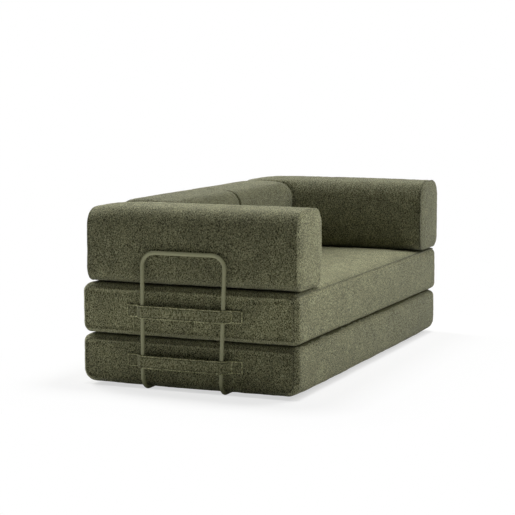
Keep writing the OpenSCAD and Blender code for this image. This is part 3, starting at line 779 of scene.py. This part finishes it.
for a, b in zip(rim, rim[1:] + rim[:1]):
    faces.append((a, a + wide * tall, b + wide * tall, b))
mesh = bpy.data.meshes.new("hinge_strip_sewn")
mesh.from_pydata(points, [], faces)
mesh.materials.append(webbing)
strip = bpy.data.objects.new("hinge_strip_sewn", mesh)
bpy.context.scene.collection.objects.link(strip)
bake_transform(strip)
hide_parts("front_hinge_strip")

# Frames. Four bent steel tubes with a satin powder coat in the fabric's colour. Each stands behind two straps, and
# its feet turn in under the lower slab; black ribbed plugs close their ends.
coat = plain_finish("olive_powder_coat", (0.372, 0.375, 0.222), (0.408, 0.411, 0.248), 1500, 0.42, 0.0,
                    depth=0.00005)
coat.node_tree.nodes["Principled BSDF"].inputs["Specular IOR Level"].default_value = 0.3
rubber = plain_finish("black_plug", (0.012, 0.012, 0.011), (0.022, 0.022, 0.020), 400, 0.6, 0.0)
frames = ("left_side", "right_side", "left_back", "right_back")
for which in frames:
    for part, finish in (("_frame", coat), ("_plugs", rubber)):
        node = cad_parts[which + part]
        node.data.materials.clear()
        node.data.materials.append(finish)

# Straps. Each is a padded band of the cover's cloth, turned in and topstitched along its edges, that wraps a frame's
# two legs; a tab at each end is sewn flat on the slab with a square and a cross of stitches.
band_half, band_high, band_thick = 0.199, 0.051, 0.006
tab_long, tab_high, tab_thick = 0.046, 0.048, 0.0045
tube_r, strap_gap, tube_off = 0.008, 0.0004, 0.0086
frame_top, leg_lean, floor_half_apart, leg_spread = 0.540, 0.03947, 0.1650, 0.01845
# The band's back and the tabs' sides carry painted shade.
seam_in, groove_half, back_and_side_shade = 0.0062, 0.0016, 0.6
strap_cloth = pile_fabric("strap_cloth", (0.225, 0.223, 0.122), (0.42, 0.417, 0.252), (0.080, 0.080, 0.040),
                          curl=230.0, depth=0.0014)
thread = plain_finish("olive_thread", (0.16, 0.16, 0.09), (0.26, 0.26, 0.16), 2500, 0.7, 0.0)
out_r, in_r = tube_r + strap_gap + band_thick, tube_r + strap_gap


def band_line(spacing, leg_half, cushion_y):
    """The outer line of the band in plan, from one sewn end to the other, with its outward directions."""
    foot = np.array([band_half - leg_half, cushion_y])
    leave = math.atan2(foot[1], foot[0]) - math.acos(in_r / np.linalg.norm(foot))
    turn = np.linspace(-math.pi / 2, leave, 9)
    leg = np.array([leg_half, 0])
    half = [np.array([0, -out_r])] + [leg + out_r * np.array([math.cos(a), math.sin(a)]) for a in turn]
    half.append(leg + foot + band_thick * np.array([math.cos(leave), math.sin(leave)]))
    whole = np.array([(-x, y) for x, y in half[:0:-1]] + [tuple(p) for p in half])
    run = np.concatenate([[0], np.cumsum(np.linalg.norm(np.diff(whole, axis=0), axis=1))])
    at = np.linspace(0, run[-1], round(run[-1] / spacing) + 1)
    line = np.stack([np.interp(at, run, whole[:, k]) for k in (0, 1)], 1)
    way = np.gradient(line, axis=0)
    way /= np.linalg.norm(way, axis=1, keepdims=True)
    return at, line, np.stack([way[:, 1], -way[:, 0]], 1)


def band_relief(at, end, up, seed):
    """Depth below the band's outer line, and its painted light and shade: a groove of stitches inside each edge and
    end, painted darker, puckers between, and painted highlights on the raised edges."""
    edge = band_high / 2 - np.abs(up)
    sewn = min(at, end - at)
    half = 0.0018
    groove = max(math.exp(-(((edge - 0.0066) / half) ** 2)), 0.8 * math.exp(-(((sewn - 0.0055) / half) ** 2)))
    deep = 0.0020 * groove
    if edge > 0.008:
        deep += 0.0010 + 0.0009 * noise.noise(Vector((at / 0.008, up / 0.02, seed)))
    return deep, groove if min(edge, sewn) > 0.0050 else -1.15


band_profile = [(-0.0253, 0.0022), (-0.0245, 0.0007), (-0.0228, 0.0), (-0.0210, 0.0002)]
band_profile += [(-v, 0.0) for v in (0.0196, 0.0188, 0.0178, 0.0160, 0.0120, 0.0080, 0.0040, 0.0)]
band_profile += [(-v, d) for v, d in band_profile[-2::-1]]
band_back = (0.0253, 0.0235, 0.012, 0.0, -0.012, -0.0235, -0.0253)


def stitches(points, faces, line, ways, pitch=0.0046, long=0.0034, thick=0.00045):
    """Adds a row of short rounded stitches along a line of points that lies on the cloth."""
    first = 0.0006
    quarters = ((1, 0), (0, 1), (-1, 0), (0, -1))
    run = np.concatenate([[0], np.cumsum(np.linalg.norm(np.diff(line, axis=0), axis=1))])
    for k in range(int(run[-1] / pitch)):
        ends = [np.array([np.interp(k * pitch + s, run, line[:, i]) for i in range(3)])
                for s in (first, first + long)]
        way = np.array([np.interp(k * pitch, run, ways[:, i]) for i in range(3)])
        lie = (ends[1] - ends[0]) / max(np.linalg.norm(ends[1] - ends[0]), 1e-9)
        side = np.cross(lie, way)
        base = len(points)
        for share, size in ((0.0, 0.35), (0.3, 1.0), (0.7, 1.0), (1.0, 0.35)):
            mid = ends[0] + share * (ends[1] - ends[0]) + way * thick * (0.2 if size < 1 else 0.7)
            points += [tuple(mid + thick * size * (c * side + s * way)) for c, s in quarters]
        faces += [(base + 4 * r + c, base + 4 * r + (c + 1) % 4, base + 4 * r + 4 + (c + 1) % 4, base + 4 * r + 4 + c)
                  for r in range(3) for c in range(4)]
        faces += [(base + 3, base + 2, base + 1, base), (base + 12, base + 13, base + 14, base + 15)]


def tab_relief(u, v):
    """Depth below the tab's face at u from its band end and v from its middle: rim, square and cross of stitches, with
    a painted highlight on the rim and painted shade along the stitches.
    """
    under_band, groove, turned_in = 0.001, 0.0012, 0.0014
    edge = min(tab_long - u, tab_high / 2 - abs(v))
    inside = min(edge, u - under_band)
    deep = groove * math.exp(-(((inside - seam_in) / groove_half) ** 2)) if inside > 0.002 else 0.0
    flat = -2.0 if edge < 0.0065 else 0.0
    if inside > seam_in:
        half_u, half_v = (tab_long - under_band) / 2 - seam_in, tab_high / 2 - seam_in
        slope = half_v / half_u
        for lean in (slope, -slope):
            off = abs(v - lean * (u - under_band - (tab_long - under_band) / 2)) / math.hypot(1, slope)
            deep = max(deep, groove * math.exp(-((off / groove_half) ** 2)))
    if deep > 0.0002:
        flat = max(flat, deep / groove)
    if edge < 0.0016:
        deep += turned_in * (1 - edge / 0.0016) ** 2
    return deep, flat


def make_strap(name, stand, height, body, node, seed):
    """Sews one strap at that height: the wavy band round both legs, its two tabs, and all their stitches."""
    leg_out = leg_lean * (frame_top - height)
    cushion_y = tube_off + leg_out - 0.0001
    at, line, ways = band_line(0.004, floor_half_apart + leg_spread * height, cushion_y)
    lean = leg_lean * np.clip(1 - line[:, 1] / (0.6 * cushion_y), 0, 1)
    points, faces, strap_light_and_shade = [], [], []
    for s, p, w, tip in zip(at, line, ways, lean):
        ripple = 0.0016 * noise.noise(Vector((s / 0.030, seed, 0)))
        tuck = 0.0012 * noise.noise(Vector((s / 0.009, seed, 3)))
        ring = []
        for v, d in band_profile:
            deep, flat = band_relief(s, at[-1], v, seed)
            out = p - w * (d + (deep if abs(v) < 0.0235 else 0.0))
            strap_light_and_shade.append(flat)
            ring.append((out[0], out[1] + tip * v, v + (ripple + math.copysign(tuck, v)) * min(1, abs(v) / 0.02)))
        for v in band_back:
            strap_light_and_shade.append(back_and_side_shade)
            back = p - w * (band_thick - (0.0014 if abs(v) > 0.025 else 0.0))
            ring.append((back[0], back[1] + tip * v, v + (ripple + math.copysign(tuck, v)) * min(1, abs(v) / 0.02)))
        points += ring
    around = len(ring)
    for j in range(len(at) - 1):
        for i in range(around):
            a, b = j * around + i, j * around + (i + 1) % around
            faces.append((a, b, b + around, a + around))
    faces += [tuple(range(around))[::-1], tuple((len(at) - 1) * around + i for i in range(around))]
    cells = 23
    for side in (-1, 1):
        base = len(points)
        us, vs = np.linspace(0, tab_long, cells), np.linspace(-tab_high / 2, tab_high / 2, cells)
        for u in us:
            for v in vs:
                fray = 0.0005 * noise.noise(Vector((u / 0.006, v / 0.006, seed + side)))
                deep, flat = tab_relief(u, v)
                strap_light_and_shade.append(flat)
                points.append((side * (band_half + u + (fray if u > 0.045 else 0)),
                               cushion_y - tab_thick + deep, v + (fray if abs(v) > 0.023 else 0)))
        rim = ([i * cells for i in range(cells)] + [(cells - 1) * cells + j for j in range(1, cells)]
               + [i * cells + cells - 1 for i in range(cells - 2, -1, -1)] + [j for j in range(cells - 2, 0, -1)])
        under = len(points)
        points += [(points[base + r][0], cushion_y, points[base + r][2]) for r in rim]
        strap_light_and_shade += [back_and_side_shade] * len(rim)
        corners = [base + i * cells + j for i in range(cells - 1) for j in range(cells - 1)]
        found = [(a, a + cells, a + cells + 1, a + 1) for a in corners]
        m = len(rim)
        found += [(base + rim[(k + 1) % m], base + rim[k], under + k, under + (k + 1) % m) for k in range(m)]
        found.append(tuple(under + k for k in range(m))[::-1])
        faces += [f if side > 0 else f[::-1] for f in found]
    sewn_points, sewn_faces = [], []
    for v in (-band_high / 2 + seam_in, band_high / 2 - seam_in):
        keep = slice(2, -2)
        run = np.column_stack([line[keep] - ways[keep] * 0.0017, np.full(len(line[keep]), v)])
        run[:, 1] += lean[keep] * v
        stitches(sewn_points, sewn_faces, run, np.column_stack([ways[keep], np.zeros(len(line[keep]))]))
    low_u, high_u, reach = 0.0072, tab_long - seam_in, tab_high / 2 - seam_in
    square = [(low_u, -reach), (high_u, -reach), (high_u, reach), (low_u, reach), (low_u, -reach)]
    for side in (-1, 1):
        for rows in (square, [(low_u, -reach), (high_u, reach)], [(low_u, reach), (high_u, -reach)]):
            for (u0, v0), (u1, v1) in zip(rows, rows[1:]):
                t = np.linspace(0, 1, 12)
                run = np.array([(side * (band_half + u0 + k * (u1 - u0)), cushion_y - tab_thick + 0.0012,
                                 v0 + k * (v1 - v0)) for k in t])
                stitches(sewn_points, sewn_faces, run, np.tile((0.0, -1.0, 0.0), (12, 1)))
    for part, made, joined, finish in ((name, points, faces, strap_cloth),
                                       (name + "_thread", sewn_points, sewn_faces, thread)):
        mesh = bpy.data.meshes.new(part)
        mesh.from_pydata([tuple(p) for p in made], [], joined)
        mesh.transform(stand @ Matrix.Translation((0, -leg_out, height)))
        for face in mesh.polygons:
            face.use_smooth = True
        mesh.materials.append(finish)
        ob = bpy.data.objects.new(part, mesh)
        bpy.context.scene.collection.objects.link(ob)
        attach(ob, body)
        if part == name:
            # The strap keeps its painted light and shade as "sewn": highlights on the band's edges and the tabs' rims,
            # shade in the stitch grooves, on its back and on the tabs' sides.
            mark = mesh.attributes.new("sewn", "FLOAT", "POINT")
            mark.data.foreach_set("value", np.array(strap_light_and_shade, np.float32))
            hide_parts(node)


lower_strap_up, upper_strap_up, frame_back = 0.114, 0.3083, 0.008
for k, which in enumerate(frames):
    sign = -1 if which.startswith("left") else 1
    if which.endswith("side"):
        stand = (Matrix.Translation((sign * (slab_size[0] / 2 + tube_off), frame_back, 0))
                 @ Matrix.Rotation(sign * math.pi / 2, 4, "Z"))
    else:
        stand = Matrix.Translation((sign * back_out, slab_size[1] / 2 + tube_off, 0)) @ Matrix.Rotation(math.pi, 4, "Z")
    make_strap(which + "_lower_strap_sewn", stand, lower_strap_up, "lower_slab", which + "_lower_strap", 31.0 + k)
    make_strap(which + "_upper_strap_sewn", stand, upper_strap_up, "upper_slab", which + "_upper_strap", 41.0 + k)
